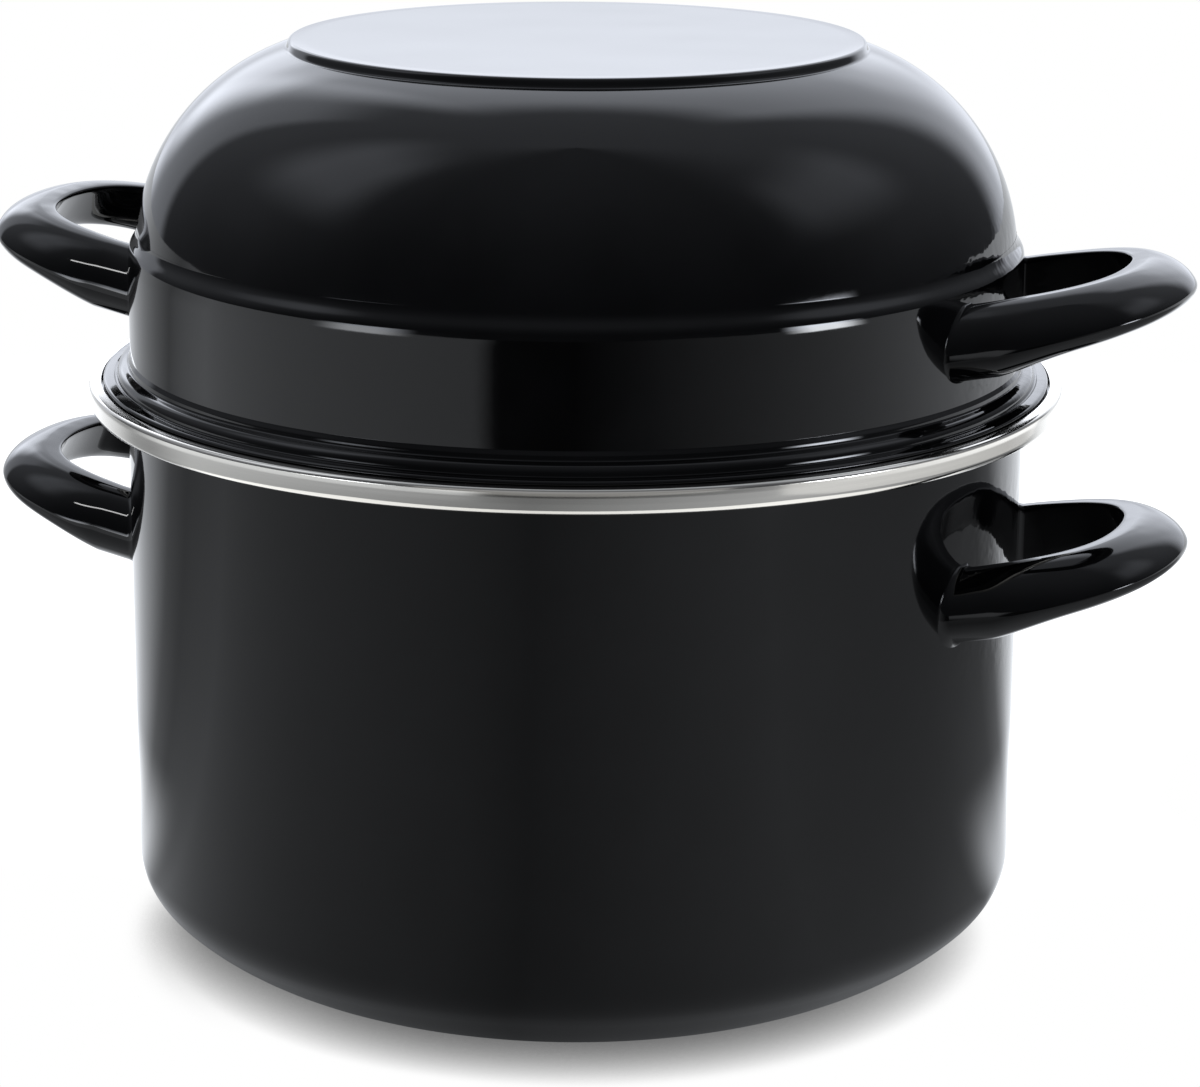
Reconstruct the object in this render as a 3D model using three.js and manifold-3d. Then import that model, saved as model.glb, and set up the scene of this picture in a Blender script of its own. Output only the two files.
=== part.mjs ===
// A mussel pot of enamelled steel, in millimetres, +Z up, standing on z = 0.
// A drawn pot with a stainless band round its rolled lip carries a deep bowl-shaped lid.
// Pot and lid each have two loop handles, along +X and -X. Turned over, the lid is a dish.
import * as THREE from 'three';
import { mergeVertices } from 'three/addons/utils/BufferGeometryUtils.js';
import { ParametricGeometry } from 'three/addons/geometries/ParametricGeometry.js';
import Module from 'manifold-3d';

const degree = Math.PI / 180;

// Sheet and fits
const sheet = 1.2;                  // steel with its enamel on both sides
const fitGap = 0.3;                 // between pieces that touch
const lidPlay = 0.6;                // lid edge to the rolled lip, all round

// Pot body
const bodyRadius = 121;             // outside of the wall
const lipHeight = 158.3;            // top of the lip, where the lid sits
const lipWidth = 7;                 // from the wall out to the rolled edge
const lipFlareRadius = 5;
const baseSlopeAngle = 45 * degree; // the bottom corner bends twice, with this slope between
const baseSlopeHeight = 21.4;       // where that slope would reach the wall
const baseSweepRadius = 57;         // bend from the flat base to the slope
const baseCornerRadius = 16;        // bend from the slope to the wall
const rolledEdgeWidth = 2.4;
const rolledEdgeRise = 0.9;         // above the lip
const rolledEdgeDrop = 4.4;         // below the lip
const rolledEdgeRound = 0.9;

// Stainless band clipped over the rolled edge
const bandSheet = 0.5;
const bandTopReach = 3.2;           // how far its top lies inward over the rolled edge
const bandBottomReach = 2.4;
const bandRound = 1.5;

// Lid, with heights above the foot of its rim
const lidHeight = 91.4;
const flangeWidth = 7.3;            // from the edge of the rim in to the upright belt
const lidFootRadius = 76.4;         // the flat top, which is the foot of the dish
const lidFootStep = 2.3;
const lidFootDraft = 0.8;
const lidFootRound = 1.2;
const lidFootFillet = 1;
const crownSlope = 16.7 * degree;   // slope of the shoulder where it leaves the foot
const domeLean = 5.5 * degree;      // lean of the dome just above the ledge
const shoulderRadius = 57;
const ledgeWidth = 2;               // from the belt in to the foot of the dome
const ledgeRise = 1.3;
const ledgeFillet = 5;
const ridgeHeight = 35.7;           // edge where the ledge turns down into the belt
const ridgeRound = 0.8;
const beltFootHeight = 6.4;
const beltFootFillet = 1.6;
const beadSetback = 4;              // from the edge of the rim in to the rounded bead
const beadHeight = 5.2;
const beadRound = 2.2;
const creaseHeight = 2.4;
const creaseSetback = 3.2;          // from the edge of the rim in to the crease below the bead
const creaseFillet = 0.4;
const rimHeight = 2.4;
const rimWidth = 2.2;               // flat that rests on the pot's lip
const rimRound = 0.9;

// Loop handles, alike on pot and lid
const potHandleDrop = 33.9;         // lip to the grip's top edge at the wall
const lidHandleDrop = 1.1;          // ridge to the grip's top edge at the belt
const handleTilt = 11.4 * degree;   // grip rises outwards
const gripDepth = 29.9;             // finger gap from the wall to its end
const gripHalfWidth = 31.5;         // half the finger gap at the wall
const gripLegEase = 13.5;           // how far the legs run nearly straight
const gripLegInset = 2.4;           // how much the legs draw in over that length
const gripTipEase = 26.7;           // how broad the end of the gap is
const gripRootThickness = 10;
const gripTipThickness = 13.4;
const gripRootHeight = 18.4;
const gripTipHeight = 12.8;
const gripTipLean = 20.5 * degree;  // the grip's end leans out below its top edge
const gripTopRound = 1.2;           // edge between the flat inner face and the top
const gripBottomRound = 4;

// Facets
const turnFacets = 48;
const curveTolerance = 0.15;
const gripStations = 25;
const gripOuterSteps = 7;
const gripBottomSteps = 2;

const wasm = await Module();
wasm.setup();

// Profile tools: a profile is a list of corners, each with the radius that rounds it off.

function corner(r, z, fillet = 0) {
  return { point: new THREE.Vector2(r, z), fillet };
}

function direction(from, to) {
  return to.point.clone().sub(from.point).normalize();
}

// The same profile moved sideways, to the left of its run where distance is positive.
function inset(corners, distance) {
  const last = corners.length - 1;
  return corners.map((here, i) => {
    const before = direction(corners[Math.max(i - 1, 0)], corners[Math.max(i, 1)]);
    const after = direction(corners[Math.min(i, last - 1)], corners[Math.min(i + 1, last)]);
    const left = new THREE.Vector2(-before.y - after.y, before.x + after.x).normalize();
    const spread = distance / (left.x * -before.y + left.y * before.x);
    const side = Math.sign(before.cross(after));
    const fillet = here.fillet > 0 ? Math.max(here.fillet - distance * side, 0) : 0;
    return { point: here.point.clone().addScaledVector(left, spread), fillet };
  });
}

// Points along the profile with its corners rounded. A fillet is limited by its walls.
function rounded(corners) {
  const turns = corners.map((here, i) => {
    if (i === 0 || i === corners.length - 1 || here.fillet === 0) return { angle: 0, tangent: 0 };
    const angle = direction(corners[i - 1], here).angleTo(direction(here, corners[i + 1]));
    return { angle, tangent: here.fillet * Math.tan(angle / 2) };
  });
  const share = (i, j) => {
    const wanted = turns[i].tangent + turns[j].tangent;
    const length = corners[i].point.distanceTo(corners[j].point);
    return wanted > length ? length / wanted : 1;
  };
  const points = [];
  corners.forEach((here, i) => {
    if (turns[i].tangent === 0) {
      points.push(here.point.clone());
      return;
    }
    const fit = Math.min(share(i - 1, i), share(i, i + 1));
    const radius = here.fillet * fit;
    const before = direction(corners[i - 1], here);
    const after = direction(here, corners[i + 1]);
    const side = Math.sign(before.cross(after));
    const start = here.point.clone().addScaledVector(before, -turns[i].tangent * fit);
    const toCentre = new THREE.Vector2(-before.y, before.x).multiplyScalar(side * radius);
    const centre = start.clone().add(toCentre);
    const stepAngle = 2 * Math.acos(1 - Math.min(curveTolerance / radius, 1));
    const steps = Math.max(2, Math.ceil(turns[i].angle / stepAngle));
    for (let k = 0; k <= steps; k += 1) {
      points.push(start.clone().rotateAround(centre, (side * turns[i].angle * k) / steps));
    }
  });
  return points;
}

// A profile in radius and height turned round the Z axis.
function turned(points) {
  return new THREE.LatheGeometry(points, turnFacets).rotateX(Math.PI / 2);
}

// Solid tools

function toSolid(geometry) {
  const bare = geometry.clone();
  bare.deleteAttribute('normal');
  bare.deleteAttribute('uv');
  const merged = mergeVertices(bare, 1e-4);
  const index = merged.index.array;
  const kept = [];
  for (let i = 0; i < index.length; i += 3) {
    const [a, b, c] = [index[i], index[i + 1], index[i + 2]];
    if (a !== b && b !== c && c !== a) kept.push(a, b, c);
  }
  const mesh = new wasm.Mesh({
    numProp: 3,
    vertProperties: new Float32Array(merged.attributes.position.array),
    triVerts: new Uint32Array(kept),
  });
  return new wasm.Manifold(mesh);
}

function toGeometry(solid) {
  const mesh = solid.getMesh();
  const geometry = new THREE.BufferGeometry();
  geometry.setAttribute('position', new THREE.BufferAttribute(new Float32Array(mesh.vertProperties), 3));
  geometry.setIndex(new THREE.BufferAttribute(new Uint32Array(mesh.triVerts), 1));
  geometry.computeVertexNormals();
  return geometry;
}

// Finishes

function blackEnamel() {
  return new THREE.MeshStandardMaterial({ color: 0x0b0b0d, roughness: 0.08, metalness: 0 });
}

function stainlessSteel() {
  return new THREE.MeshStandardMaterial({ color: 0xc9c9c6, roughness: 0.18, metalness: 1 });
}

function piece(name, geometry, material) {
  const mesh = new THREE.Mesh(geometry, material);
  mesh.name = name;
  return mesh;
}

// Pot body: one drawn sheet, from the base up the wall, out along the lip to its rolled edge.

const rolledInner = bodyRadius + lipWidth;
const rolledOuter = rolledInner + rolledEdgeWidth;
const rolledTop = lipHeight + rolledEdgeRise;
const rolledBottom = lipHeight - rolledEdgeDrop;

function potBody() {
  const slopeStart = bodyRadius - baseSlopeHeight / Math.tan(baseSlopeAngle);
  const outside = [
    corner(0, 0),
    corner(slopeStart, 0, baseSweepRadius),
    corner(bodyRadius, baseSlopeHeight, baseCornerRadius),
    corner(bodyRadius, lipHeight - sheet, lipFlareRadius),
    corner(rolledInner, lipHeight - sheet),
  ];
  const rolledEdge = [
    corner(rolledInner, rolledBottom, rolledEdgeRound),
    corner(rolledOuter, rolledBottom, rolledEdgeRound),
    corner(rolledOuter, rolledTop, rolledEdgeRound),
    corner(rolledInner, rolledTop, rolledEdgeRound),
  ];
  const inside = inset(outside, sheet).reverse();
  return turned(rounded([...outside, ...rolledEdge, ...inside]));
}

// Stainless band: a strip bent round the rolled edge, open towards the pot.

function potRimBand() {
  const outer = rolledOuter + fitGap + bandSheet;
  const top = rolledTop + fitGap + bandSheet;
  const bottom = rolledBottom - fitGap - bandSheet;
  const outside = [
    corner(outer - bandTopReach, top),
    corner(outer, top, bandRound),
    corner(outer, bottom, bandRound),
    corner(outer - bandBottomReach, bottom),
  ];
  const strip = [...rounded(outside), ...rounded(inset(outside, -bandSheet)).reverse()];
  strip.push(strip[0].clone());
  return turned(strip.reverse());
}

// Lid: one drawn sheet, from its flat top over the dome, ledge and belt to the rolled rim.

const rimRadius = rolledInner - lidPlay;
const beltRadius = rimRadius - flangeWidth;

function lidBowl() {
  const crownEdge = corner(lidFootRadius + lidFootDraft, lidHeight - lidFootStep, lidFootFillet);
  const ledge = corner(beltRadius - ledgeWidth, ridgeHeight + ledgeRise, ledgeFillet);
  // The shoulder's corner is where the crown's slope meets the dome's lean.
  const fall = Math.tan(crownSlope);
  const lean = Math.tan(domeLean);
  const drop = crownEdge.point.y - ledge.point.y;
  const run = ledge.point.x - crownEdge.point.x;
  const rise = (drop - run * fall) / (1 - fall * lean);
  const shoulder = corner(ledge.point.x - rise * lean, ledge.point.y + rise, shoulderRadius);
  const outside = [
    corner(0, lidHeight),
    corner(lidFootRadius, lidHeight, lidFootRound),
    crownEdge,
    shoulder,
    ledge,
    corner(beltRadius, ridgeHeight, ridgeRound),
    corner(beltRadius, beltFootHeight, beltFootFillet),
    corner(rimRadius - beadSetback, beadHeight, beadRound),
    corner(rimRadius - creaseSetback, creaseHeight, creaseFillet),
  ];
  const rim = [
    corner(rimRadius, rimHeight, rimRound),
    corner(rimRadius, 0, rimRound),
    corner(rimRadius - rimWidth, 0),
  ];
  const inside = inset(outside, -sheet).reverse();
  return turned(rounded([...outside, ...rim, ...inside]).reverse());
}

// Loop handle, made with +X outwards and the grip's inner top edge at the wall on z = 0.

// The closed section of the grip: a flat inner face, a level top and a round outer side. It leans out
// towards its bottom.
function gripSection(thickness, height, lean) {
  const points = [new THREE.Vector2(0, -height + gripBottomRound), new THREE.Vector2(0, -gripTopRound)];
  points.push(new THREE.Vector2(gripTopRound, 0));
  const outerDepth = thickness - gripBottomRound;
  for (let k = 0; k <= gripOuterSteps; k += 1) {
    const turn = Math.PI / 2 - (Math.PI * k) / gripOuterSteps;
    const out = gripBottomRound + outerDepth * Math.cos(turn);
    points.push(new THREE.Vector2(out, (height / 2) * (Math.sin(turn) - 1)));
  }
  for (let k = 1; k < gripBottomSteps; k += 1) {
    const turn = -Math.PI / 2 - ((Math.PI / 2) * k) / gripBottomSteps;
    const out = gripBottomRound * (1 + Math.cos(turn));
    points.push(new THREE.Vector2(out, gripBottomRound * (1 + Math.sin(turn)) - height));
  }
  for (const point of points) point.x -= point.y * Math.tan(lean);
  return points;
}

function loopHandle(wallRadius) {
  const legStart = gripHalfWidth + gripRootThickness;
  const rootDepth = wallRadius - Math.sqrt(wallRadius ** 2 - legStart ** 2) + gripRootHeight;
  const legEnd = gripHalfWidth - gripLegInset;
  const edge = new THREE.Path();
  edge.moveTo(-rootDepth, -gripHalfWidth);
  edge.lineTo(0, -gripHalfWidth);
  edge.bezierCurveTo(gripLegEase, -legEnd, gripDepth, -gripTipEase, gripDepth, 0);
  edge.bezierCurveTo(gripDepth, gripTipEase, gripLegEase, legEnd, 0, gripHalfWidth);
  edge.lineTo(-rootDepth, gripHalfWidth);

  const sides = gripSection(gripRootThickness, gripRootHeight, 0).length;
  const rows = gripStations + 1;
  const tilt = new THREE.Matrix4().makeRotationY(-handleTilt);
  const surface = (around, along, target) => {
    const row = Math.round(along * rows);
    const station = THREE.MathUtils.clamp((row - 1) / (rows - 2), 0, 1);
    const inner = edge.getPointAt(station);
    const run = edge.getTangentAt(station);
    const outness = THREE.MathUtils.clamp(inner.x / gripDepth, 0, 1);
    const thickness = THREE.MathUtils.lerp(gripRootThickness, gripTipThickness, outness);
    const height = THREE.MathUtils.lerp(gripRootHeight, gripTipHeight, outness);
    const lean = gripTipLean * outness;
    const capped = row === 0 || row === rows;
    const side = Math.round(around * sides) % sides;
    const place = capped
      ? new THREE.Vector2(thickness / 2, -height / 2)
      : gripSection(thickness, height, lean)[side];
    target.set(inner.x + run.y * place.x, inner.y - run.x * place.x, place.y);
    target.applyMatrix4(tilt);
    target.x += wallRadius;
  };
  const loop = toSolid(new ParametricGeometry(surface, sides, rows));
  const reach = rootDepth + gripDepth + gripTipThickness + gripRootHeight;
  const wall = [
    new THREE.Vector2(0, -reach),
    new THREE.Vector2(wallRadius + fitGap, -reach),
    new THREE.Vector2(wallRadius + fitGap, reach),
    new THREE.Vector2(0, reach),
  ];
  return toGeometry(loop.subtract(toSolid(turned(wall))));
}

// The two handles of one vessel, on its +X and -X sides.
function handlePair(vessel, wallRadius, height) {
  const pair = new THREE.Group();
  pair.position.z = height;
  const right = piece(`${vessel}_handle_right`, loopHandle(wallRadius), blackEnamel());
  const left = piece(`${vessel}_handle_left`, loopHandle(wallRadius), blackEnamel());
  left.rotation.z = Math.PI;
  pair.add(right, left);
  return pair;
}

const pot = new THREE.Group();
pot.add(piece('pot_body', potBody(), blackEnamel()));
pot.add(piece('pot_rim_band', potRimBand(), stainlessSteel()));
pot.add(handlePair('pot', bodyRadius, lipHeight - potHandleDrop));

const lid = new THREE.Group();
lid.position.z = lipHeight + fitGap;
lid.add(piece('lid_bowl', lidBowl(), blackEnamel()));
lid.add(handlePair('lid', beltRadius, ridgeHeight - lidHandleDrop));

const musselPot = new THREE.Group();
musselPot.add(pot, lid);

export default musselPot;
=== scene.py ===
# %% [markdown]
# # An enamelled mussel pot
# The pot is pressed from steel sheet and covered in black glass enamel. A bright band of stainless
# steel clamps its rolled lip, and the lid is a second bowl that turns over into a dish. The
# construction is loaded as a fixed frame. This lesson makes each piece again with smooth surfaces,
# gives it its finish and lights it, without moving or resizing anything.

import math

import bmesh
import bpy
from mathutils import Euler, Matrix, Vector
from mathutils.geometry import interpolate_bezier


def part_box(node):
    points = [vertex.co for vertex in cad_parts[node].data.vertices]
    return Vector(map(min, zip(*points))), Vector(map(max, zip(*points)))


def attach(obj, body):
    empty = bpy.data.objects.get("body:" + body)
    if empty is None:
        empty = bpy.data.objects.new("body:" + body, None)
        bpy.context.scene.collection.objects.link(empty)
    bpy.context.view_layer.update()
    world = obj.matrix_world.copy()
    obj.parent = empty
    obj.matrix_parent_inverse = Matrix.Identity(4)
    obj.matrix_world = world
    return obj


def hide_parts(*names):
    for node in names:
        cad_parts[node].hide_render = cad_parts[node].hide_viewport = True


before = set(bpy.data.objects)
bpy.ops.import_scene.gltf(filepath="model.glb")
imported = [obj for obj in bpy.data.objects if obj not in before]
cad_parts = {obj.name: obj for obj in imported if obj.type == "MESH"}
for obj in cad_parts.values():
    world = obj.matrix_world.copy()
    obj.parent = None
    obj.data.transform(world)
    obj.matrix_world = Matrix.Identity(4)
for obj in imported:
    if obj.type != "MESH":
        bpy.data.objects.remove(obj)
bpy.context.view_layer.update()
print("pieces in the frame:", ", ".join(sorted(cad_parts)))

# %% [markdown]
# ## Measure before modelling
# The frame already knows how wide and high everything is, so those sizes are read from it. Only the
# details that a box can't tell, such as a bend's radius, are written down here. Blender works in
# metres, and a maker thinks in millimetres, so one value turns the second into the first.

# %% Read the main sizes from the frame
MM = 0.001

pot_low, pot_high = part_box("pot_body")
band_low, band_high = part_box("pot_rim_band")
lid_low, lid_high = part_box("lid_bowl")

roll_outer = pot_high.x
roll_top = pot_high.z
lid_edge = lid_high.x
lid_foot = lid_low.z
lid_top = lid_high.z
print(f"pot {roll_top / MM:.1f} mm high, lid from {lid_foot / MM:.1f} to {lid_top / MM:.1f} mm")

# %% [markdown]
# ## The camera
# A long lens from a little over a metre away keeps the pot's sides nearly upright, as in a catalogue
# picture. The camera is turned in three steps that a photographer would name: round the pot, down
# towards it, and a trace of roll. Each is a rotation matrix, and their product is the camera's turn.

# %% Place the camera
CAMERA_PLACE = Vector((313.2, -925.3, 380.6)) * MM
CAMERA_TURN = math.radians(18.3)
CAMERA_DOWN = math.radians(15.45)
CAMERA_ROLL = math.radians(0.37)
LENS = 110.4
SENSOR = 36.0

camera = bpy.data.objects.new("camera", bpy.data.cameras.new("camera"))
camera.data.sensor_width = SENSOR
camera.data.lens = LENS
camera.matrix_world = (
    Matrix.Translation(CAMERA_PLACE)
    @ Matrix.Rotation(CAMERA_TURN, 4, "Z")
    @ Matrix.Rotation(math.pi / 2 - CAMERA_DOWN, 4, "X")
    @ Matrix.Rotation(CAMERA_ROLL, 4, "Z")
)
bpy.context.scene.collection.objects.link(camera)
bpy.context.scene.camera = camera
print(f"camera {CAMERA_PLACE.length:.2f} m from the pot's base, {LENS} mm lens")

# %% [markdown]
# ## Drawing a sheet in section
# Pot, band and lid are all sheet bent in section and turned round one axis. A curve object with a
# bevel could draw such a section, but its arcs only come near to round. Here a single vertex does the
# drawing: extruding it makes a straight run, and spinning it about a bend's centre makes a true arc.
# A corner is a radius from the axis, a height and the bend that rounds it.

# %% Helpers that draw a section
BEND_ANGLE = math.radians(3)
BEND_CHORD = 0.25 * MM
LEAST_BEND_STEPS = 3
RUN_PIECE = 4 * MM
LEAST_RUN_PIECES = 3


def corner(r, z, bend=0.0):
    """A corner of a section, in the plane of X and Z, with the radius of its bend."""
    return Vector((r, 0.0, z)), bend


def run_to(bm, tip, place):
    """Runs the section straight on from its tip, in pieces that keep its middle flat in the light."""
    pieces = max(LEAST_RUN_PIECES, math.ceil((place - tip.co).length / RUN_PIECE))
    start = tip.co.copy()
    for piece in range(1, pieces + 1):
        tip = bmesh.ops.extrude_vert_indiv(bm, verts=[tip])["verts"][0]
        tip.co = start.lerp(place, piece / pieces)
    return tip


def bend_round(bm, tip, before, place, after, bend):
    """Runs the section up to a corner and spins it round the bend."""
    coming = (place - before).normalized()
    going = (after - place).normalized()
    turn = coming.angle(going)
    tip = run_to(bm, tip, place - coming * bend * math.tan(turn / 2))
    axis = coming.cross(going).normalized()
    centre = tip.co + axis.cross(coming) * bend
    steps = min(math.ceil(turn / BEND_ANGLE), math.ceil(bend * turn / BEND_CHORD))
    steps = max(steps, LEAST_BEND_STEPS)
    arc = bmesh.ops.spin(bm, geom=[tip], cent=centre, axis=axis, angle=turn, steps=steps)
    return next(item for item in arc["geom_last"] if isinstance(item, bmesh.types.BMVert))


def draw_section(bm, corners):
    """Draws a section through its corners, from the first to the last."""
    tip = bm.verts.new(corners[0][0])
    for (before, _), (place, bend), (after, _) in zip(corners, corners[1:], corners[2:]):
        if bend > 0:
            tip = bend_round(bm, tip, before, place, after, bend)
        else:
            tip = run_to(bm, tip, place)
    return run_to(bm, tip, corners[-1][0])


def other_side(corners, sheet):
    """The far side of the sheet: the same corners moved to the left of their run, in reverse."""
    places = [place for place, _ in corners]
    runs = [(there - here).normalized() for here, there in zip(places, places[1:])]
    moved = []
    for (place, bend), coming, going in zip(corners, runs[:1] + runs, runs + runs[-1:]):
        left = Vector((-coming.z - going.z, 0.0, coming.x + going.x)).normalized()
        reach = sheet / (left.z * coming.x - left.x * coming.z)
        inward = math.copysign(sheet, coming.x * going.z - coming.z * going.x)
        if sheet < 0:
            inward = -inward
        moved.append((place + left * reach, max(bend - inward, 0.0) if bend else 0.0))
    return moved[::-1]


print("section helpers ready")

# %% [markdown]
# ## From a section to a piece
# A full spin about the upright axis turns a section into a pot. Spin leaves a double row of vertices
# where it meets itself and a crowd of them on the axis, so doubles are merged first and the normals
# are made to point outwards after that. The finished mesh then takes the place of its plain solid in
# the frame: it rides on the same body.

# %% Helpers that finish a piece
TURN_STEPS = 240
MERGE = 0.001 * MM
SHARP = math.radians(50)


def spin_section(bm):
    """Turns the drawn section round the Z axis into a closed surface."""
    drawn = bm.verts[:] + bm.edges[:]
    bmesh.ops.spin(
        bm, geom=drawn, cent=(0, 0, 0), axis=(0, 0, 1),
        angle=math.tau, steps=TURN_STEPS, use_merge=True,
    )
    bmesh.ops.remove_doubles(bm, verts=bm.verts[:], dist=MERGE)
    bmesh.ops.recalc_face_normals(bm, faces=bm.faces[:])


def finish_piece(bm, name, node, body):
    """Makes an object of the mesh, in the place of a node of the frame."""
    for face in bm.faces:
        face.smooth = True
    mesh = bpy.data.meshes.new(name)
    bm.to_mesh(mesh)
    bm.free()
    mesh.set_sharp_from_angle(angle=SHARP)
    made = bpy.data.objects.new(name, mesh)
    bpy.context.scene.collection.objects.link(made)
    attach(made, body)
    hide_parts(node)
    print(f"{name}: {len(mesh.polygons)} faces in place of {node}")
    return made


print(f"piece helpers ready, with {TURN_STEPS} steps to a full turn")

# %% [markdown]
# ## The pot
# One disc of sheet is drawn into a pot: a flat base, a bottom edge that bends twice, an upright wall
# and a lip with a rolled edge. Modelling only the outside and adding a Solidify modifier would be
# quicker, but the roll is too tight for that: its two sides would cross. So the section goes all the
# way round the sheet, out along the outside and back along the inside.

# %% Draw and spin the pot
SHEET = 1.2 * MM
LIP_WIDTH = 7 * MM
LIP_FLARE = 5 * MM
BASE_SLOPE = math.radians(45)
BASE_SLOPE_HEIGHT = 21.4 * MM
BASE_SWEEP = 57 * MM
BASE_CORNER = 16 * MM
ROLL_WIDTH = 2.4 * MM
ROLL_RISE = 0.9 * MM
ROLL_DROP = 4.4 * MM
ROLL_ROUND = 1.15 * MM

roll_inner = roll_outer - ROLL_WIDTH
wall_radius = roll_inner - LIP_WIDTH
lip_top = roll_top - ROLL_RISE


def make_pot():
    outside = [
        corner(0, 0),
        corner(wall_radius - BASE_SLOPE_HEIGHT / math.tan(BASE_SLOPE), 0, BASE_SWEEP),
        corner(wall_radius, BASE_SLOPE_HEIGHT, BASE_CORNER),
        corner(wall_radius, lip_top - SHEET, LIP_FLARE),
        corner(roll_inner, lip_top - SHEET),
    ]
    roll = [
        corner(roll_inner, lip_top - ROLL_DROP, ROLL_ROUND),
        corner(roll_outer, lip_top - ROLL_DROP, ROLL_ROUND),
        corner(roll_outer, roll_top, ROLL_ROUND),
        corner(roll_inner, roll_top, ROLL_ROUND),
    ]
    bm = bmesh.new()
    draw_section(bm, outside + roll + other_side(outside, SHEET))
    spin_section(bm)
    return finish_piece(bm, "enamel_pot", "pot_body", "pot")


pot = make_pot()

# %% [markdown]
# ## The steel band
# A strip of thin stainless steel is bent over the rolled edge and squeezed tight, which hides the edge
# where enamel would chip. A Solidify modifier could thicken a single surface too. Here the section is
# drawn out along the bright side, back along the hidden side, and joined at the end, because the helpers
# that drew the pot already do that. Its free ends are cut square, as strip is.

# %% Draw and spin the band
BAND_SHEET = 0.5 * MM
BAND_TOP_REACH = 3.2 * MM
BAND_FOOT_REACH = 2.4 * MM
BAND_TOP_BEND = 1.2 * MM
BAND_FOOT_BEND = 2.3 * MM


def make_band():
    bright = [
        corner(band_high.x - BAND_TOP_REACH, band_high.z),
        corner(band_high.x, band_high.z, BAND_TOP_BEND),
        corner(band_high.x, band_low.z, BAND_FOOT_BEND),
        corner(band_high.x - BAND_FOOT_REACH, band_low.z),
    ]
    bm = bmesh.new()
    end = draw_section(bm, bright + other_side(bright, -BAND_SHEET))
    bm.verts.ensure_lookup_table()
    bm.edges.new((end, bm.verts[0]))
    spin_section(bm)
    return finish_piece(bm, "steel_band", "pot_rim_band", "pot")


band = make_band()

# %% [markdown]
# ## The lid
# The lid is a bowl of its own, turned over. From the middle outwards its sheet runs along the flat
# foot, down a small step, over the dome, out across a narrow ledge, down the upright belt that carries
# the handles, over two fine folds and a bead, and past a crease to a rolled rim. The dome's shoulder is
# one wide bend between two slopes, so its corner is found where the two slopes would meet. The top of
# the belt eases in under its ridge, by so little that only its highlight shows it. The folds are finer
# than the sheet is thick, so the hidden side leaves them out.

# %% Draw and spin the lid
FLANGE_WIDTH = 7.3 * MM
FOOT_RADIUS = 76.4 * MM
FOOT_STEP = 2.3 * MM
FOOT_DRAFT = 0.8 * MM
FOOT_ROUND = 1.2 * MM
FOOT_FILLET = 1 * MM
CROWN_SLOPE = math.radians(16.7)
DOME_LEAN = math.radians(5.5)
SHOULDER_BEND = 57 * MM
LEDGE_WIDTH = 2.3 * MM
LEDGE_RISE = 2.95 * MM
LEDGE_FILLET = 5.5 * MM
RIDGE_HEIGHT = 37.2 * MM
RIDGE_ROUND = 4.5 * MM
RIDGE_EASE = 3.4 * MM
RIDGE_EASE_WIDTH = 0.32 * MM
RIDGE_EASE_BEND = 24 * MM
BELT_FOOT = 8.1 * MM
FOLD_WIDTH = 0.55 * MM
FOLD_HEIGHT = 7 * MM
FOLD_ROUND = 0.35 * MM
NECK_WIDTH = 0.73 * MM
NECK_HEIGHT = 5.75 * MM
NECK_FILLET = 0.5 * MM
BEAD_SETBACK = 3.9 * MM
BEAD_HEIGHT = 4.9 * MM
BEAD_ROUND = 2.4 * MM
CREASE_SETBACK = 3.53 * MM
CREASE_HEIGHT = 2.4 * MM
CREASE_FILLET = 0.25 * MM
SEAM_SETBACK = 2.8 * MM
SEAM_HEIGHT = 2.75 * MM
SEAM_ROUND = 0.25 * MM
RIM_HEIGHT = 2.4 * MM
RIM_WIDTH = 2.2 * MM
RIM_ROUND = 0.9 * MM
HIDDEN_FILLET = 1.6 * MM

belt_radius = lid_edge - FLANGE_WIDTH


def shoulder_corner(crown, ledge):
    """Where the crown's slope, going out, meets the dome's lean, going up."""
    fall = math.tan(CROWN_SLOPE)
    lean = math.tan(DOME_LEAN)
    drop = crown.z - ledge.z - (ledge.x - crown.x) * fall
    rise = drop / (1 - fall * lean)
    return corner(ledge.x - rise * lean, ledge.z + rise, SHOULDER_BEND)


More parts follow.
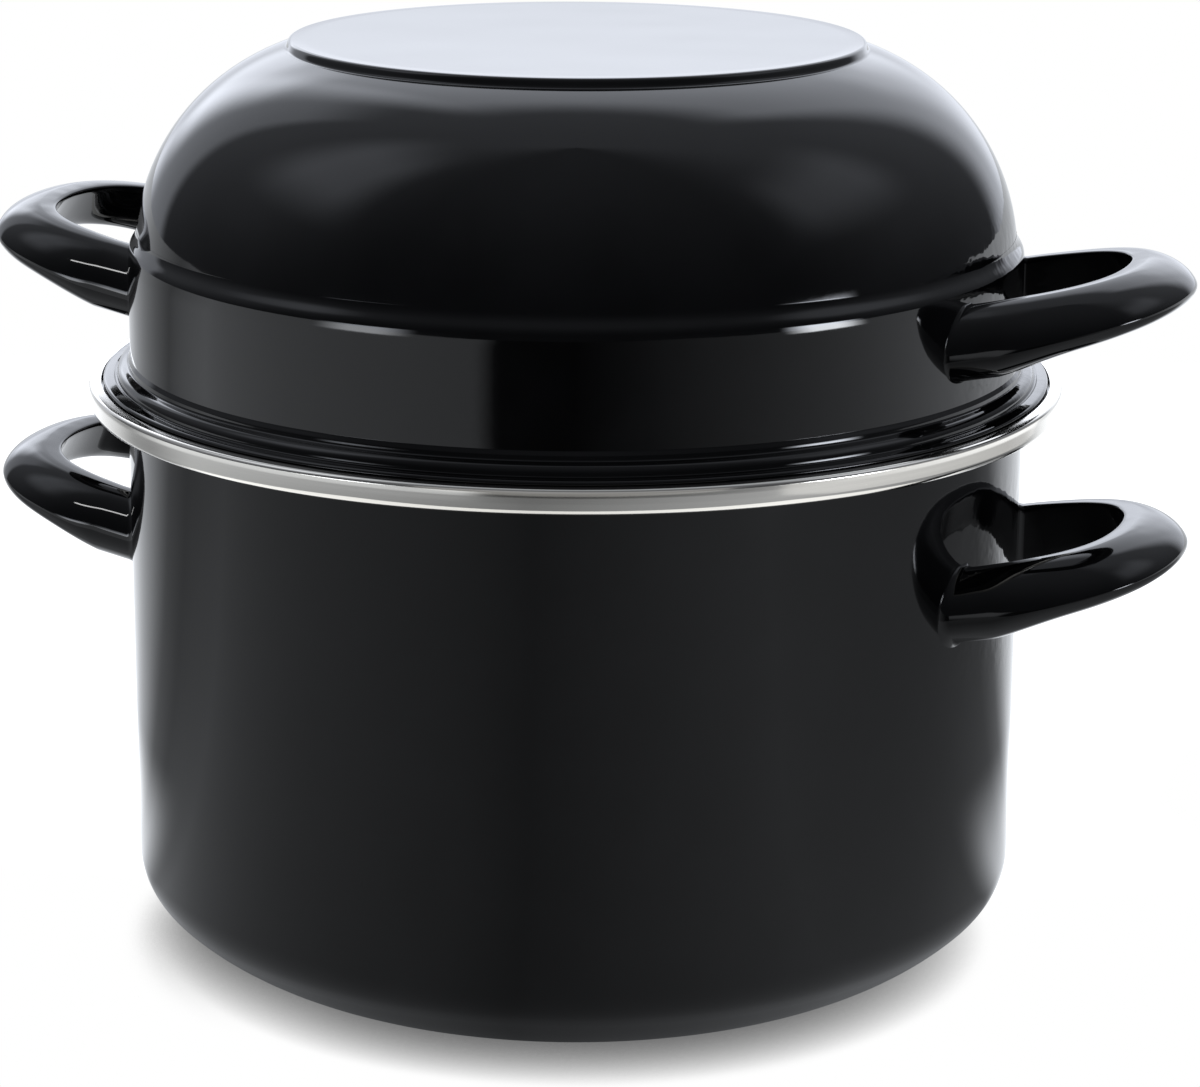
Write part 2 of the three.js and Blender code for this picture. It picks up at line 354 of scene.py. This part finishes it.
def make_lid():
    crown = corner(FOOT_RADIUS + FOOT_DRAFT, lid_top - FOOT_STEP, FOOT_FILLET)
    ledge = corner(belt_radius - LEDGE_WIDTH, lid_foot + RIDGE_HEIGHT + LEDGE_RISE, LEDGE_FILLET)
    bowl = [
        corner(0, lid_top),
        corner(FOOT_RADIUS, lid_top, FOOT_ROUND),
        crown,
        shoulder_corner(crown[0], ledge[0]),
        ledge,
        corner(belt_radius - RIDGE_EASE_WIDTH, lid_foot + RIDGE_HEIGHT, RIDGE_ROUND),
        corner(belt_radius, lid_foot + RIDGE_HEIGHT - RIDGE_EASE, RIDGE_EASE_BEND),
    ]
    bead = corner(lid_edge - BEAD_SETBACK, lid_foot + BEAD_HEIGHT, BEAD_ROUND)
    crease = corner(lid_edge - CREASE_SETBACK, lid_foot + CREASE_HEIGHT, CREASE_FILLET)
    folds = [
        corner(belt_radius, lid_foot + BELT_FOOT, FOLD_ROUND),
        corner(belt_radius + FOLD_WIDTH, lid_foot + FOLD_HEIGHT, FOLD_ROUND),
        corner(belt_radius + NECK_WIDTH, lid_foot + NECK_HEIGHT, NECK_FILLET),
        bead,
        crease,
        corner(lid_edge - SEAM_SETBACK, lid_foot + SEAM_HEIGHT, SEAM_ROUND),
    ]
    plain = [corner(belt_radius, lid_foot + NECK_HEIGHT, HIDDEN_FILLET), bead, crease]
    rim = [
        corner(lid_edge, lid_foot + RIM_HEIGHT, RIM_ROUND),
        corner(lid_edge, lid_foot, RIM_ROUND),
        corner(lid_edge - RIM_WIDTH, lid_foot),
    ]
    bm = bmesh.new()
    draw_section(bm, bowl + folds + rim + other_side(bowl + plain, -SHEET))
    spin_section(bm)
    return finish_piece(bm, "enamel_lid", "lid_bowl", "lid")


lid = make_lid()

# %% [markdown]
# ## The loop handles
# Each handle is pressed sheet with a flat inner face, so that it lies well in the fingers, and a round
# outer side that bulges most below its middle. A curve with a bevel object could sweep that section,
# but the handle also swells towards its end and flares where the weld and its enamel meet the wall. So
# it is lofted: for each station along the way a circle is squared off on one side, and neighbouring
# rings are bridged.

# %% Shape one ring of the grip
GRIP_SIDES = 56
GRIP_FLAT_SHARE = 0.35
GRIP_TOP_SQUARENESS = 10.0
GRIP_FOOT_SQUARENESS = 4.1
GRIP_BACK_SQUARENESS = 1.6
CIRCLE_SQUARENESS = 2.0
GRIP_BELLY = 0.35


def squared(value, squareness):
    """A circle's coordinate moved out towards a square, or in if the squareness is below a circle's."""
    return math.copysign(abs(value) ** (CIRCLE_SQUARENESS / squareness), value)


def grip_ring(bm, thickness, height, lean, flare, weld, stand):
    """One ring round the grip: its inner top edge at the stand's origin, X outwards and Z up.

    The flare widens it outwards and down, the weld all round.
    """
    ring = bmesh.ops.create_circle(bm, segments=GRIP_SIDES, radius=1.0)["verts"]
    flat = GRIP_FLAT_SHARE * thickness
    for vert in ring:
        out, up = vert.co.x, vert.co.y
        if out < 0:
            squareness = GRIP_TOP_SQUARENESS if up > 0 else GRIP_FOOT_SQUARENESS
            out = squared(out, squareness) * (flat + weld)
            up = squared(up, squareness)
        else:
            squareness = GRIP_BACK_SQUARENESS if up > 0 else CIRCLE_SQUARENESS
            out = squared(out, squareness) * (thickness - flat + flare + weld)
            up -= GRIP_BELLY * (1 - abs(up))
        down = (1 - up) * height / 2
        vert.co = (flat + out + down * math.tan(lean), 0.0, up * weld + min(up, 0.0) * flare - down)
    bmesh.ops.transform(bm, matrix=stand, verts=ring)
    return ring


print(f"a ring of the grip has {GRIP_SIDES} sides")

# %% [markdown]
# ## The way round a handle
# Seen from above, a handle leaves the wall, goes round its end and comes back. One Bezier curve draws
# half of that way, and the other half is its mirror image. A ring stands on each of its points, square
# to the way. From the legs to the end the rings get thicker and lower, and they lean further out.

# %% Set rings along the loop
GRIP_DEPTH = 29.6 * MM
GRIP_HALF_WIDTH = 31.5 * MM
GRIP_LEG_EASE = 13.5 * MM
GRIP_LEG_INSET = 2.4 * MM
GRIP_TIP_EASE = 26.7 * MM
GRIP_ROOT_THICKNESS = 10 * MM
GRIP_TIP_THICKNESS = 13.4 * MM
GRIP_ROOT_HEIGHT = 17.5 * MM
GRIP_TIP_HEIGHT = 12.8 * MM
GRIP_ROOT_LEAN = math.radians(0.7)
GRIP_TIP_LEAN = math.radians(16.5)
GRIP_ROOT_FLARE = 1.2 * MM
GRIP_FLARE_REACH = 0.6
GRIP_STATIONS = 36


def grip_path():
    """The grip's inner top edge in plan, from one leg round the end to the other."""
    leg = GRIP_HALF_WIDTH - GRIP_LEG_INSET
    corners = [(0, GRIP_HALF_WIDTH), (GRIP_LEG_EASE, leg), (GRIP_DEPTH, GRIP_TIP_EASE), (GRIP_DEPTH, 0)]
    half = interpolate_bezier(*[Vector((x, -y, 0)) for x, y in corners], GRIP_STATIONS)
    far = [Vector((point.x, -point.y, 0)) for point in half[-2::-1]]
    return half + far


def mix(root, tip, share):
    """A size of the grip, at a share of the way from its root to its tip."""
    return root + (tip - root) * share


def loop_rings(bm, place):
    """The rings of one loop on the +X side, from leg to leg."""
    path = grip_path()
    runs = [(there - here).normalized() for here, there in zip(path, path[1:])]
    rings = []
    for index, point in enumerate(path):
        along = (runs[max(index - 1, 0)] + runs[min(index, len(runs) - 1)]).normalized()
        outward = Vector((along.y, -along.x, 0))
        stand = Matrix((outward, along, Vector((0, 0, 1)))).transposed().to_4x4()
        stand.translation = point
        swell = point.x / GRIP_DEPTH
        thickness = mix(GRIP_ROOT_THICKNESS, GRIP_TIP_THICKNESS, swell)
        height = mix(GRIP_ROOT_HEIGHT, GRIP_TIP_HEIGHT, swell)
        lean = mix(GRIP_ROOT_LEAN, GRIP_TIP_LEAN, swell)
        ease = min(swell / GRIP_FLARE_REACH, 1.0)
        flare = GRIP_ROOT_FLARE * (1 - ease * ease * (3 - 2 * ease))
        rings.append(grip_ring(bm, thickness, height, lean, flare, 0.0, place @ stand))
    return rings


print(f"a loop has {len(grip_path())} rings")

# %% [markdown]
# ## Where a handle meets its wall
# The rings of the grip stand square to its way, but the last ones have to lie on a round wall. They
# are slid along the leg until each vertex is the same distance from the wall, and each ring nearer to
# the wall is widened a little more. That makes the hollow corner of enamel over the weld.

# %% Lay the last rings on the wall
GRIP_TILT = math.radians(11.4)
WELD_STEPS = 7
WELD_SINK = 0.4 * MM


def lay_on_wall(ring, radius):
    """Slides a ring along its leg until all of it is that far from the axis."""
    for vert in ring:
        x = math.sqrt(radius**2 - vert.co.y**2)
        vert.co.z += (x - vert.co.x) * math.tan(GRIP_TILT)
        vert.co.x = x


def weld_rings(bm, side, wall, weld, place):
    """The rings of the weld at the leg on that side, from the leg to just inside the wall."""
    stand = Matrix(((0, 1, 0), (side, 0, 0), (0, 0, 1))).to_4x4()
    stand.translation = (0, side * GRIP_HALF_WIDTH, 0)
    rings = []
    for step in range(WELD_STEPS + 1):
        angle = math.pi / 2 * step / WELD_STEPS
        ring = grip_ring(
            bm, GRIP_ROOT_THICKNESS, GRIP_ROOT_HEIGHT, GRIP_ROOT_LEAN, GRIP_ROOT_FLARE,
            weld * (1 - math.cos(angle)), place @ stand,
        )
        lay_on_wall(ring, wall + weld * (1 - math.sin(angle)) - WELD_SINK)
        rings.append(ring)
    return rings


print(f"a weld has {WELD_STEPS + 1} rings")

# %% [markdown]
# ## From rings to a handle
# Bridging fills the way from one ring to the next with faces, and the two ends are closed inside the
# sheet of the wall. Every handle is made on the right, and the left ones are then turned half round the
# pot's axis. The pot's and the lid's handles have one shape, and only wall, height and weld differ.

# %% Loft the handles
POT_GRIP_DROP = 33.9 * MM
LID_GRIP_DROP = 2.6 * MM
POT_WELD = 2.4 * MM
LID_WELD = 1.4 * MM

pot_grip_height = lip_top - POT_GRIP_DROP
lid_grip_height = lid_foot + RIDGE_HEIGHT - LID_GRIP_DROP


def ring_edges(ring):
    """The edges that run round one ring."""
    return {edge for vert in ring for edge in vert.link_edges if edge.other_vert(vert) in ring}


def make_handle(name, node, body, wall, height, weld, turn):
    place = Matrix.Translation((wall, 0, height)) @ Matrix.Rotation(-GRIP_TILT, 4, "Y")
    bm = bmesh.new()
    loop = loop_rings(bm, place)
    near_weld = weld_rings(bm, -1, wall, weld, place)
    far_weld = weld_rings(bm, 1, wall, weld, place)
    rings = [ring_edges(ring) for ring in near_weld[::-1] + loop + far_weld]
    for ring, following in zip(rings, rings[1:]):
        bmesh.ops.bridge_loops(bm, edges=list(ring | following))
    bmesh.ops.holes_fill(bm, edges=list(rings[0] | rings[-1]), sides=GRIP_SIDES)
    bmesh.ops.rotate(bm, verts=bm.verts[:], cent=(0, 0, 0), matrix=Matrix.Rotation(turn, 3, "Z"))
    bmesh.ops.recalc_face_normals(bm, faces=bm.faces[:])
    return finish_piece(bm, name, node, body)


handles = []
for side, turn in (("right", 0.0), ("left", math.pi)):
    handles.append(make_handle(
        f"pot_grip_{side}", f"pot_handle_{side}", "pot", wall_radius, pot_grip_height, POT_WELD, turn))
    handles.append(make_handle(
        f"lid_grip_{side}", f"lid_handle_{side}", "lid", belt_radius, lid_grip_height, LID_WELD, turn))

# %% [markdown]
# ## Wiring a finish
# Finishes are drawn by nodes, so that they have detail at any distance and need no pictures. Every one
# starts from the place on the piece, in metres, which makes a noise's scale the number of its waves in
# a metre. One small helper adds a node and wires or fills its inputs, and the others build on it.

# %% Helpers that wire nodes
NOISE_MIDDLE = (0.3, 0.7)


def add(tree, kind, inputs, **settings):
    """Adds a node, sets it up, and wires or fills its inputs. Returns its first output."""
    node = tree.nodes.new("ShaderNode" + kind)
    for name, value in settings.items():
        setattr(node, name, value)
    for name, source in inputs.items():
        if isinstance(source, bpy.types.NodeSocket):
            tree.links.new(source, node.inputs[name])
        else:
            node.inputs[name].default_value = source
    return node.outputs[0]


def noise(tree, place, waves, detail):
    """A soft noise from 0 to 1 with that many waves in a metre, and finer ones for more detail."""
    return add(tree, "TexNoise", {"Vector": place, "Scale": waves, "Detail": detail})


def slope(tree, value, start, end):
    """Rises evenly from 0 at the start to 1 at the end."""
    return add(tree, "MapRange", {"Value": value, "From Min": start, "From Max": end})


def fade(tree, value, start, end):
    """Rises smoothly from 0 at the start to 1 at the end. A later start falls."""
    ends = {"Value": value, "From Min": start, "From Max": end}
    return add(tree, "MapRange", ends, interpolation_type="SMOOTHSTEP")


def spread(tree, value, low, high):
    """Moves the middle of a noise's range to run from low to high."""
    start, end = NOISE_MIDDLE
    ends = {"Value": value, "From Min": start, "From Max": end, "To Min": low, "To Max": high}
    return add(tree, "MapRange", ends)


def ramp(tree, value, stops):
    """Turns a value from 0 to 1 into a grey or a colour, through the given stops."""
    node = tree.nodes.new("ShaderNodeValToRGB")
    tree.links.new(value, node.inputs["Fac"])
    elements = node.color_ramp.elements
    while len(elements) < len(stops):
        elements.new(0.5)
    for element, (position, colour) in zip(elements, stops):
        element.position = position
        element.color = (*colour, 1.0)
    return node.outputs["Color"]


def product(tree, *values):
    """Multiplies two or more values."""
    result = values[0]
    for value in values[1:]:
        result = add(tree, "Math", {0: result, 1: value}, operation="MULTIPLY")
    return result


def total(tree, *values):
    """Adds up two or more values."""
    result = values[0]
    for value in values[1:]:
        result = add(tree, "Math", {0: result, 1: value}, operation="ADD")
    return result


def difference(tree, value, less):
    """Takes one value from another."""
    return add(tree, "Math", {0: value, 1: less}, operation="SUBTRACT")


def new_finish(name):
    """A material with its shader and the place on the piece, in metres."""
    finish = bpy.data.materials.new(name)
    finish.use_nodes = True
    tree = finish.node_tree
    place = tree.nodes.new("ShaderNodeTexCoord").outputs["Object"]
    return finish, tree, tree.nodes["Principled BSDF"].inputs, place


print("finish helpers ready")

# %% [markdown]
# ## Black enamel
# Enamel is glass melted onto steel. Its colour is almost nothing: what is seen is the mirror of the
# room. So the work goes into how even that mirror is. The sheet under it is a little wavy from the
# press, the glass has a faint orange peel, and on the handles it ran before it set, which makes their
# highlights wander. Close to a weld the sheet is puckered by the heat, which shows in the mirror images
# of the handles. These are bumps of different wavelength on one glossy shader.

# %% Make the enamel
ENAMEL_STOPS = ((0.35, (0.0016, 0.0016, 0.0019)), (0.7, (0.0042, 0.0042, 0.0048)))
ENAMEL_ROUGHNESS = (0.03, 0.06)
# Each noise has its waves in a metre and its detail
DEPTH_NOISE = (55, 4)
GLOSS_NOISE = (30, 3)
SHELL_NOISE = (24, 1)
SHELL_WAVE_HEIGHT = 0.1 * MM
GRIP_NOISE = (90, 1)
GRIP_WAVE_HEIGHT = 0.12 * MM
PUCKER_NOISE = (140, 2)
PUCKER_HEIGHT = 0.2 * MM
PUCKER_ASIDE = (50 * MM, 24 * MM)
PUCKER_AWAY = (34 * MM, 12 * MM)
PEEL_NOISE = (320, 1)
PEEL_HEIGHT = 0.004 * MM


def near_handles(tree, place, weld_height):
    """Is 1 on a shell close to its two handles and fades to 0 round them."""
    split = tree.nodes.new("ShaderNodeSeparateXYZ")
    tree.links.new(place, split.inputs[0])
    aside = add(tree, "Math", {0: split.outputs["Y"]}, operation="ABSOLUTE")
    above = difference(tree, split.outputs["Z"], weld_height)
    away = add(tree, "Math", {0: above}, operation="ABSOLUTE")
    return product(tree, fade(tree, aside, *PUCKER_ASIDE), fade(tree, away, *PUCKER_AWAY))


def enamel(name, sheet_noise, wave_height, weld_height=None):
    """Black glass on a wavy sheet, which is puckered round a weld height where one is given."""
    finish, tree, shader, place = new_finish(name)
    tree.links.new(ramp(tree, noise(tree, place, *DEPTH_NOISE), ENAMEL_STOPS), shader["Base Color"])
    gloss = noise(tree, place, *GLOSS_NOISE)
    tree.links.new(spread(tree, gloss, *ENAMEL_ROUGHNESS), shader["Roughness"])
    sheet = noise(tree, place, *sheet_noise)
    bumps = add(tree, "Bump", {"Height": sheet, "Distance": wave_height})
    if weld_height is not None:
        near = near_handles(tree, place, weld_height)
        pucker = product(tree, noise(tree, place, *PUCKER_NOISE), near)
        bumps = add(tree, "Bump", {"Height": pucker, "Distance": PUCKER_HEIGHT, "Normal": bumps})
    peel = noise(tree, place, *PEEL_NOISE)
    bumps = add(tree, "Bump", {"Height": peel, "Distance": PEEL_HEIGHT, "Normal": bumps})
    tree.links.new(bumps, shader["Normal"])
    print(f"{name}: waves {1 / sheet_noise[0] / MM:.0f} mm long")
    return finish


weld_middle = GRIP_ROOT_HEIGHT / 2
pot_enamel = enamel("black_enamel_pot", SHELL_NOISE, SHELL_WAVE_HEIGHT, pot_grip_height - weld_middle)
lid_enamel = enamel("black_enamel_lid", SHELL_NOISE, SHELL_WAVE_HEIGHT, lid_grip_height - weld_middle)
grip_enamel = enamel("black_enamel_grip", GRIP_NOISE, GRIP_WAVE_HEIGHT)

# %% [markdown]
# ## Bright steel
# The band is rolled strip, polished along its length. Rolling leaves lines that run round the pot, so
# the noise is squeezed: it changes quickly with height and slowly round the rim. The lines change the
# roughness and the bump, and the colour only by a trace. The shader's anisotropy draws the highlights out
# along a tangent, and here that tangent runs round the rim.

# %% Make the steel
STEEL_STOPS = ((0.3, (0.79, 0.77, 0.725)), (0.7, (0.83, 0.81, 0.76)))
STEEL_ROUGHNESS = (0.09, 0.13)
STEEL_STRETCH = 0.6
LINE_SQUEEZE = (12.0, 12.0, 900.0)
LINE_NOISE = (1, 3)
LINE_HEIGHT = 0.0006 * MM


def bright_steel():
    finish, tree, shader, place = new_finish("stainless_band")
    shader["Metallic"].default_value = 1.0
    shader["Anisotropic"].default_value = STEEL_STRETCH
    round_rim = tree.nodes.new("ShaderNodeTangent")
    round_rim.direction_type = "RADIAL"
    round_rim.axis = "Z"
    tree.links.new(round_rim.outputs["Tangent"], shader["Tangent"])
    lines = add(tree, "Mapping", {"Vector": place, "Scale": LINE_SQUEEZE})
    rolled = noise(tree, lines, *LINE_NOISE)
    tree.links.new(ramp(tree, rolled, STEEL_STOPS), shader["Base Color"])
    tree.links.new(spread(tree, rolled, *STEEL_ROUGHNESS), shader["Roughness"])
    bumps = add(tree, "Bump", {"Height": rolled, "Distance": LINE_HEIGHT})
    tree.links.new(bumps, shader["Normal"])
    return finish


dressed = [(pot, pot_enamel), (lid, lid_enamel), (band, bright_steel())]
dressed += [(handle, grip_enamel) for handle in handles]
for piece, finish in dressed:
    piece.data.materials.append(finish)
print("finishes given to", len(dressed), "pieces")

# %% [markdown]
# ## The studio
# A black mirror shows its room, so lighting it means placing bright and dark areas around it. Lamps and
# cards could be hung one by one, but it is easier to draw the whole room in the world, by direction.
# Directions are turned so that Y points away from the camera, and become two angles: across from
# straight behind, and up. A panel is then bright between two angles across and two angles up.

# %% Helpers that draw by direction
def angles(tree, place):
    """The angle across, from straight behind and growing to the right, and the angle up."""
    turned = add(
        tree, "VectorRotate", {"Vector": place, "Angle": -CAMERA_TURN}, rotation_type="Z_AXIS")
    split = tree.nodes.new("ShaderNodeSeparateXYZ")
    tree.links.new(turned, split.inputs[0])
    x, y, z = split.outputs
    across = add(tree, "Math", {0: x, 1: y}, operation="ARCTAN2")
    up = add(tree, "Math", {0: z}, operation="ARCSINE")
    return across, up


def step_up(tree, value, start, end):
    """A fade between two angles in degrees."""
    return fade(tree, value, math.radians(start), math.radians(end))


def between(tree, value, ends, soft):
    """Is 1 between two angles and fades to 0 beyond them."""
    rise = step_up(tree, value, ends[0] - soft, ends[0] + soft)
    fall = step_up(tree, value, ends[1] + soft, ends[1] - soft)
    return product(tree, rise, fall)


def panel(tree, across, up, sides, heights, soft, strength):
    """A soft-edged bright panel between two angles across and two angles up."""
    wide = between(tree, across, sides, soft[0])
    high = between(tree, up, heights, soft[1])
    return product(tree, wide, high, strength)


print("direction helpers ready")

# %% [markdown]
# ## The room
# A bright backdrop stands behind the pot, with a brighter window low on its left and on its right. A
# softbox hangs at each side, two lamps shine from far away at the horizon, and a dim ceiling is lighter
# towards the back. The camera sees none of that: to its own rays the room is white.

# %% Draw the room
# Angles across, angles up, how soft each is, and the strength
PANELS = {
    "backdrop": ((-27, 38), (-30, 60), (7, 7), 1.12),
    "backdrop low": ((-17, 13), (8, 20), (6, 3), 0.8),
    "backdrop left": ((-46, -20), (-30, 48), (3, 9), 0.5),
    "low left window": ((-29, -16), (6, 29), (6, 4), 1.1),
    "low right window": ((13, 25), (-4, 27), (5, 4), 0.4),
    "left softbox": ((-106, -70), (34, 64), (10, 10), 0.52),
    "right softbox": ((70, 112), (30, 52), (9, 9), 0.36),
    "far left lamp": ((-136, -119), (-9, 0.2), (6, 1.3), 5.0),
    "far right lamp": ((109, 124), (-9, 0.8), (5, 1.5), 17.0),
}
CEILING_FRONT = 0.05
CEILING_RISE = 0.15
CEILING_RISE_UP = (0, 90)
CEILING_BACK = 0.24
CEILING_BACK_SIDES = (-105, 105)
CEILING_BACK_SOFT = 30
CEILING_BACK_UP = (-20, 50)
SKY_GAIN = 1.1
SKY_TINT = (0.87, 0.91, 1.0)
WHITE = (1.0, 1.0, 1.0)


def draw_room():
    world = bpy.data.worlds.new("room")
    bpy.context.scene.world = world
    world.use_nodes = True
    tree = world.node_tree
    across, up = angles(tree, tree.nodes.new("ShaderNodeTexCoord").outputs["Generated"])
    behind = between(tree, across, CEILING_BACK_SIDES, CEILING_BACK_SOFT)
    light = total(
        tree,
        CEILING_FRONT,
        product(tree, step_up(tree, up, *CEILING_RISE_UP), CEILING_RISE),
        product(tree, behind, step_up(tree, up, *CEILING_BACK_UP), CEILING_BACK),
        *[panel(tree, across, up, *shape) for shape in PANELS.values()],
    )
    seen = tree.nodes.new("ShaderNodeLightPath").outputs["Is Camera Ray"]
    light = product(tree, light, SKY_GAIN)
    white = add(tree, "Math", {0: seen, 1: light}, operation="MAXIMUM")
    background = tree.nodes["Background"].inputs
    tree.links.new(white, background["Strength"])
    tree.links.new(ramp(tree, seen, ((0.0, SKY_TINT), (1.0, WHITE))), background["Color"])
    print("room with", ", ".join(PANELS))


draw_room()

# %% [markdown]
# ## Lamps for the small pieces
# The band and the handles curve so tightly that each shows nearly the whole room, squeezed into thin
# lines. A photographer lights such edges with small lamps and cards of their own. Light linking does
# that without a trace on the dome and the wall: a lamp only lights the pieces in its collection.

# %% Hang the linked lamps
LAMP_TARGET = Vector((0, 0, 0.15))


def linked_lamp(name, across, up, distance, size, radiance, pieces):
    """A flat lamp that looks at the middle of the pot and lights only some pieces."""
    across = math.radians(across)
    up = math.radians(up)
    way = Vector((math.sin(across) * math.cos(up), math.cos(across) * math.cos(up), math.sin(up)))
    way.rotate(Euler((0, 0, CAMERA_TURN)))
    data = bpy.data.lights.new(name, "AREA")
    data.shape = "RECTANGLE"
    data.size, data.size_y = size
    data.energy = math.pi * size[0] * size[1] * radiance
    lamp = bpy.data.objects.new(name, data)
    bpy.context.scene.collection.objects.link(lamp)
    lamp.location = LAMP_TARGET + way * distance
    lamp.rotation_euler = way.to_track_quat("Z", "Y").to_euler()
    lamp.visible_camera = False
    lit = bpy.data.collections.new(name + "_lights")
    for piece in pieces:
        lit.objects.link(piece)
    lamp.light_linking.receiver_collection = lit
    print(name, [round(value, 3) for value in lamp.location])


left_handles = [handle for handle in handles if handle.name.endswith("left")]
# Angle across, angle up, distance and size in metres, radiance, and the pieces it lights
LAMPS = {
    "floor_card": (180, -89, 0.149, (0.5, 0.5), 0.7, [band]),
    "right_card": (95, -6, 0.55, (0.95, 0.28), 0.33, [band]),
    "front_card": (180, 12, 0.85, (1.1, 0.9), 0.22, [band]),
    "left_pane": (-133, 33, 1.3, (0.46, 0.05), 13.0, left_handles),
}
for name, shape in LAMPS.items():
    linked_lamp(name, *shape)

# %% [markdown]
# ## The light of the floor
# The floor is a pale table that fades into a white background. In the enamel it is the grey of a table
# that is lit from behind, and it is brighter close to the pot's sides. Past the table's edge it is dark
# in front and bright on the left, as if a white card lay there. The two far lamps of the room stand so
# low that only ridges, rims and handles catch them, and their light goes on down over the far floor.
# A plane under real lamps could look like that too, but then every lamp would change every reflection.

# %% Helpers that light the floor
# Angle across in degrees, and grey
TABLE_STOPS = (
    (-180, 0.23), (-171, 0.19), (-158, 0.27), (-120, 0.42), (-90, 0.56), (-74, 0.30),
    (-65, 0.37), (-56, 0.8), (-42, 1.25), (-15, 1.4), (40, 1.4), (50, 1.15), (60, 0.36),
    (69, 0.25), (92, 0.30), (135, 0.47), (165, 0.31), (180, 0.23),
)
BEYOND_STOPS = (
    (-180, 0.02), (-162, 0.03), (-157, 0.62), (-80, 0.92), (-62, 0.30), (-30, 0.9),
    (60, 1.0), (90, 0.77), (135, 0.32), (163, 0.10), (180, 0.02),
)
TABLE_EDGE = (0.745, 0.785)
GLOW_SIDES = ((-78, -38), (38, 84))
GLOW_SOFT = 8
GLOW_REACH = (0.26, 0.17)
GLOW_GAIN = 1.05
FAR_LAMP_RADIUS = (2.2, 2.6)


def round_ramp(tree, across, stops):
    """A grey that changes with the angle across, through stops in degrees."""
    share = slope(tree, across, -math.pi, math.pi)
    return ramp(tree, share, [(angle / 360 + 0.5, (grey,) * 3) for angle, grey in stops])


def side_glow(tree, across, radius):
    """The brighter table close to the pot's sides."""
    sides = total(tree, *[between(tree, across, ends, GLOW_SOFT) for ends in GLOW_SIDES])
    return product(tree, fade(tree, radius, *GLOW_REACH), sides, GLOW_GAIN)


def floor_light(tree, across, radius):
    """How bright the enamel sees the floor, by the angle across and the distance from the axis."""
    near = total(tree, round_ramp(tree, across, TABLE_STOPS), side_glow(tree, across, radius))
    beyond = round_ramp(tree, across, BEYOND_STOPS)
    change = product(tree, difference(tree, beyond, near), slope(tree, radius, *TABLE_EDGE))
    distant = slope(tree, radius, *FAR_LAMP_RADIUS)
    lamps = []
    for name in ("far left lamp", "far right lamp"):
        sides, _, soft, strength = PANELS[name]
        lamps.append(product(tree, between(tree, across, sides, soft[0]), distant, strength))
    return total(tree, near, change, *lamps)


print("table with", len(TABLE_STOPS), "greys round the pot")

# %% [markdown]
# ## The shadow under the pot
# A plane that gives light itself takes no shadow. The Ambient Occlusion node helps: it tells how open
# each place on the floor is, so a painted shadow can darken the floor close under the pot. On the left,
# the painted shadow is drawn darker and reaching further, chosen by the angle across.

# %% Helpers that shade the floor
SHADOW_REACH = 16 * MM
SHADOW_OPEN = 0.72
SHADOW_DEEPEST = 0.12
LEFT_SHADOW_REACH = 24 * MM
LEFT_SIDE = (-112, -72)
LEFT_SOFT = 25


def contact_shadow(tree, reach):
    """Is 1 on open floor and falls where the pot stands over it, within that reach."""
    occlusion = tree.nodes.new("ShaderNodeAmbientOcclusion")
    occlusion.inputs["Distance"].default_value = reach
    ends = {"Value": occlusion.outputs["AO"], "From Max": SHADOW_OPEN, "To Min": SHADOW_DEEPEST}
    return add(tree, "MapRange", ends)


def pot_shadow(tree, across):
    """The contact shadow all round, with the longer one on the left."""
    shadow = contact_shadow(tree, SHADOW_REACH)
    left_shadow = contact_shadow(tree, LEFT_SHADOW_REACH)
    longer = difference(tree, product(tree, left_shadow, left_shadow), shadow)
    # Painted shadow: the longer, darker shadow is laid on by the angle across, on the left only
    on_left = between(tree, across, LEFT_SIDE, LEFT_SOFT)
    return total(tree, shadow, product(tree, longer, on_left))


print(f"shadow reaches {SHADOW_REACH / MM:.0f} mm, on the left {LEFT_SHADOW_REACH / MM:.0f} mm")

# %% [markdown]
# ## Laying the floor
# One large square is enough for the floor. To the camera it is white, darkened only by the shadow, and
# to the enamel it has the greys worked out above. It belongs to the picture and not to the pot.

# %% Make the floor
FLOOR_REACH = 4.0
TABLE_TINT = (0.925, 0.955, 1.0)


def floor_finish():
    finish, tree, _, place = new_finish("pale_floor")
    across, _ = angles(tree, place)
    radius = tree.nodes.new("ShaderNodeVectorMath")
    radius.operation = "LENGTH"
    tree.links.new(place, radius.inputs[0])
    grey = floor_light(tree, across, radius.outputs["Value"])
    seen = tree.nodes.new("ShaderNodeLightPath").outputs["Is Camera Ray"]
    open_floor = add(tree, "Math", {0: grey, 1: seen}, operation="MAXIMUM")
    light = add(tree, "Emission", {
        "Color": ramp(tree, seen, ((0.0, TABLE_TINT), (1.0, WHITE))),
        "Strength": product(tree, open_floor, pot_shadow(tree, across)),
    })
    tree.links.new(light, tree.nodes["Material Output"].inputs["Surface"])
    return finish


floor_mesh = bpy.data.meshes.new("floor")
bm = bmesh.new()
bmesh.ops.create_grid(bm, x_segments=1, y_segments=1, size=FLOOR_REACH)
bm.to_mesh(floor_mesh)
bm.free()
floor = bpy.data.objects.new("floor", floor_mesh)
bpy.context.scene.collection.objects.link(floor)
floor.data.materials.append(floor_finish())
print(f"floor {2 * FLOOR_REACH:.0f} m wide")

# %% [markdown]
# ## Finish
# The Standard view shows each colour as it is written, without the softer highlights of a film.

bpy.context.scene.view_settings.view_transform = "Standard"
